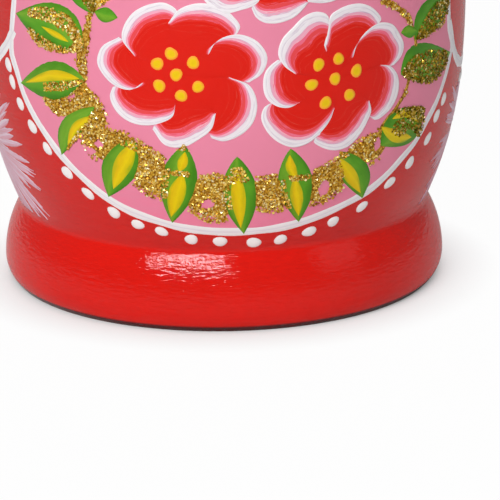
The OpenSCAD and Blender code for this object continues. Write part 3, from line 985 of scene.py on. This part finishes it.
feature_tones = {"brow_paint": (84, 48, 22), "lid_paint": (52, 30, 20), "nose_paint": (214, 138, 112),
                 "lip_paint": (206, 40, 48)}
feature_paints = []
for name, colour in feature_tones.items():
    plain = np.array(colour)
    feature_stops = [(0.0, 0.9 * plain), (0.5, plain), (1.0, 0.9 * plain + 16)]
    feature_paints.append(stroke_paint(name, feature_stops, (0.4, 4.0), 0.3))
brow = np.array([(3.3, 133.1, 0.1), (5.0, 134.3, 0.42), (7.2, 134.5, 0.42), (9.8, 133.2, 0.08)])
lid = np.array([
    (3.5, 128.9, 0.08), (4.6, 130.2, 0.3), (6.2, 130.8, 0.36), (7.9, 130.3, 0.3), (9.3, 129.0, 0.08)])
nose = [(-1.1, 124.2, 0.06), (-0.5, 123.6, 0.22), (0, 123.5, 0.24), (0.5, 123.6, 0.22), (1.1, 124.2, 0.06)]
upper_lip = [(-2.6, 119.9, 0.06), (-1.1, 120.4, 0.5), (0, 120.2, 0.42), (1.1, 120.4, 0.5), (2.6, 119.9, 0.06)]
lower_lip = [(-2.1, 119.5, 0.06), (-0.9, 119.0, 0.5), (0, 118.85, 0.6), (0.9, 119.0, 0.5), (2.1, 119.5, 0.06)]
features = [brow, brow * (-1, 1, 1), lid, lid * (-1, 1, 1), nose, upper_lip, lower_lip]
theta, z, v = front_strokes(features, 21, 5)
feature_uv = sheet_uv(np.linspace(0, 8, 21) + 9 * np.arange(len(features))[:, None, None], v / 2 + 0.5)
paint_no = np.array([0, 0, 1, 1, 2, 3, 3])
lay("brows_lids_nose_lips", theta, z, crowned(v, 0.14, 0.10, 4), feature_uv, feature_paints, paint_no)

iris_tones = [(0.0, (60, 36, 18)), (0.6, (92, 58, 28)), (1.0, (40, 24, 14))]
iris = stroke_paint("iris_paint", iris_tones, (2.0, 2.0), 0.2)
# Each row is a drop of one eye: its place from the eye's middle, its two radii, its height and its paint.
eye_x, eye_z = 6.3, 129.1
eye_drops = np.array([
    (0, 0, 2.5, 1.4, 0.06, 0), (0, 0.1, 1.25, 1.3, 0.085, 1), (0, 0.1, 0.62, 0.66, 0.115, 2),
    (-0.45, 0.55, 0.3, 0.3, 0.15, 0)])
both_eyes = np.concatenate([eye_drops + (side * eye_x, eye_z, 0, 0, 0, 0) for side in (1, -1)])
eye_places = from_front(both_eyes[:, 0], both_eyes[:, 1])
eye_paints = [drop_white, iris, feature_paints[1]]
eye_pick = both_eyes[:, 5].astype(int)
dots("eyes", eye_places, both_eyes[:, 2:4], eye_paints, height=both_eyes[:, 4], pick=eye_pick)

# Kerchief: the ground colour itself, drawn by a white line with dots round the face, a hem line down the
# back, a knot with two tails under the chin, and rosettes of dots on the head and the shawl.
shawl_z, shawl_fall, kerchief_half = 107.5, 7.5, 0.5


def shawl_hem(angle):
    """Angle and height of the kerchief's hem, which falls from the front to the back as a cosine."""
    return np.stack([angle, shawl_z - shawl_fall * (1 - np.cos(angle))], -1)


face_ring = from_front(oval_x * 1.03, face_z + (oval_z - face_z) * 1.03) * (head_r, 1)
face_line = through(face_ring, line_cols) / (head_r, 1)
kerchief = np.stack([face_line, shawl_hem(np.linspace(-np.pi, np.pi, line_cols))])
theta, z, v = ribbon(kerchief, kerchief_half * np.stack([wavering, wavering]), 7)
kerchief_uv = sheet_uv(line_along + 300 * np.arange(2)[:, None, None], v / 2 + 0.5)
lay("kerchief_lines", theta, z, crowned(v, 0.13, 0.15, 4), kerchief_uv, [white])

left_tail = [(-0.4, 108.6, 0.5), (-3.4, 104.6, 1.9), (-6.0, 100.2, 2.3), (-8.2, 96.2, 0.1)]
right_tail = [(0.4, 108.6, 0.5), (2.6, 104.0, 1.8), (4.4, 99.4, 2.2), (5.0, 94.8, 0.1)]
theta, z, v = front_strokes([left_tail, right_tail], 25, 7)
number = np.arange(2)[:, None, None]
tail_uv = sheet_uv(np.linspace(0, 12, 25) + 14 * number, v / 2 + 0.5)
lay("kerchief_tails", theta, z, crowned(v, 0.16 + 0.02 * number, 0.18, 6), tail_uv, [apron_paint])

rim_dots = from_front(*face_oval(np.radians(np.arange(-86, 267, 8.6)), 2.0))
hem_dots = shawl_hem(np.radians(np.arange(14, 347, 7.2))) - (0, 1.7)
rosette_rows = [
    (58, 144), (86, 130), (122, 141), (150, 122), (180, 144), (112, 114), (180, 106), (84, 84),
    (112, 66), (146, 80), (180, 64), (84, 53), (140, 50)]
both_sides = [(side * angle, level) for angle, level in rosette_rows for side in (1, -1)]
rosettes = np.array([row for row in both_sides if row[0] > -180], float) * (np.pi / 180, 1)
petal_a = np.radians(60 * np.arange(6))
rosette_r = 2.3
ring_t = rosettes[:, :1] + rosette_r * np.cos(petal_a) / outline(rosettes[:, 1:])
ring_z = rosettes[:, 1:] + rosette_r * np.sin(petal_a)
ring_dots = np.stack([ring_t, ring_z], -1).reshape(-1, 2)
knot = from_front(np.array([0.0]), np.array([108.2]))
# Each kind of dot with its radius and the number of its paint.
dot_kinds = [
    (rim_dots, 0.62, 0), (hem_dots, 0.72, 0), (ring_dots, 0.8, 0), (rosettes, 0.9, 1), (knot, 2.3, 2)]
dot_places = np.concatenate([places for places, _, _ in dot_kinds])
dot_radii = np.concatenate([np.full(len(places), radius) for places, radius, _ in dot_kinds])
dot_paints = np.concatenate([np.full(len(places), paint) for places, _, paint in dot_kinds])
dots("kerchief_dots", dot_places, dot_radii, [drop_white, pollen, apron_paint], pick=dot_paints)

# Table and light: a pale table top that the doll stands on, a broad oval lamp at the front left, a weak lamp
# at the right and one behind, and a camera with the picture's long lens, which looks down on the skirt
# from a little to the left of the doll's front.
sensor, table_half, table_z = 36.0, 4000.0, -0.02
table_white, contact_reach, mirror_share, room_level = 0.97, 0.01, 0.1, 0.22


def placed(side, up, back, place):
    """Place of a camera or a lamp from its three axes and its point in metres."""
    matrix = np.eye(4)
    matrix[:3, :3] = np.stack([side, up, back], 1)
    matrix[:3, 3] = place
    return Matrix(matrix.tolist())


camera = bpy.data.objects.new("camera", bpy.data.cameras.new("camera"))
camera.data.sensor_width = sensor
camera.data.lens = lens_pixels / (2 * middle) * sensor
camera.data.clip_end = 50
camera.matrix_world = placed(axes[0], axes[1], -axes[2], eye * mm)
bpy.context.scene.collection.objects.link(camera)
bpy.context.scene.camera = camera


def shown(material):
    """Share of the pale ground that a ray sees: all for the camera, a little for mirrors, none for light."""
    path = step(material, "ShaderNodeLightPath", {}).outputs
    mirrored = sums(material, "ADD", path["Is Glossy Ray"], path["Is Transmission Ray"])
    return sums(material, "MULTIPLY_ADD", mirrored, mirror_share, path["Is Camera Ray"])


table, table_shader = finish("pale_table", 0.9)
table_shader.inputs["Base Color"].default_value = (0.86, 0.86, 0.86, 1)
table_shader.inputs["Specular IOR Level"].default_value = 0.1
glow = step(table, "ShaderNodeEmission", {"Color": (1, 1, 1, 1), "Strength": 1.0})
open_share = step(table, "ShaderNodeAmbientOcclusion", {"Distance": contact_reach}, samples=8).outputs["AO"]
glow_share = sums(table, "MULTIPLY", shown(table), sums(table, "MULTIPLY", open_share, table_white))
shaders = {0: glow_share, 1: table_shader.outputs["BSDF"], 2: glow.outputs["Emission"]}
table_mix = step(table, "ShaderNodeMixShader", shaders).outputs["Shader"]
table_output = table.node_tree.nodes["Material Output"]
table.node_tree.links.new(table_mix, table_output.inputs["Surface"])
corners = np.array([(-1, -1), (1, -1), (1, 1), (-1, 1)]) * table_half
table_points = np.column_stack([corners, np.full(4, table_z)])
put("table_top", table_points, [np.array([[0, 1, 2, 3]])], [table])

room = bpy.data.worlds.new("room")
room.use_nodes = True
room_light = room.node_tree.nodes["Background"]
room_light.inputs["Color"].default_value = (1, 1, 1, 1)
room.node_tree.links.new(fade(room, shown(room), 0.0, 1.0, room_level), room_light.inputs["Strength"])
bpy.context.scene.world = room
# Each lamp has a shape, a place in metres, a width, a height and a power in watts.
lamps = {"front_left_lamp": ("ELLIPSE", (-0.385, -0.77, 0.62), 0.8, 0.14, 7.4),
         "right_lamp": ("RECTANGLE", (0.9, -0.5, 0.5), 0.5, 0.5, 0.4),
         "back_lamp": ("RECTANGLE", (0.15, 0.7, 0.9), 0.8, 0.5, 3.0)}
lamp_aim = np.array([0, 0, 0.05])
for name, (shape, place, width, height, power) in lamps.items():
    lamp = bpy.data.objects.new(name, bpy.data.lights.new(name, "AREA"))
    lamp.data.shape = shape
    lamp.data.size = width
    lamp.data.size_y = height
    lamp.data.energy = power
    aim = lamp_aim - np.array(place)
    aim /= np.linalg.norm(aim)
    across = np.cross(aim, [0, 0, 1.0])
    across /= np.linalg.norm(across)
    lamp.matrix_world = placed(across, np.cross(across, aim), -aim, place)
    bpy.context.scene.collection.objects.link(lamp)

bpy.context.scene.view_settings.view_transform = "Standard"
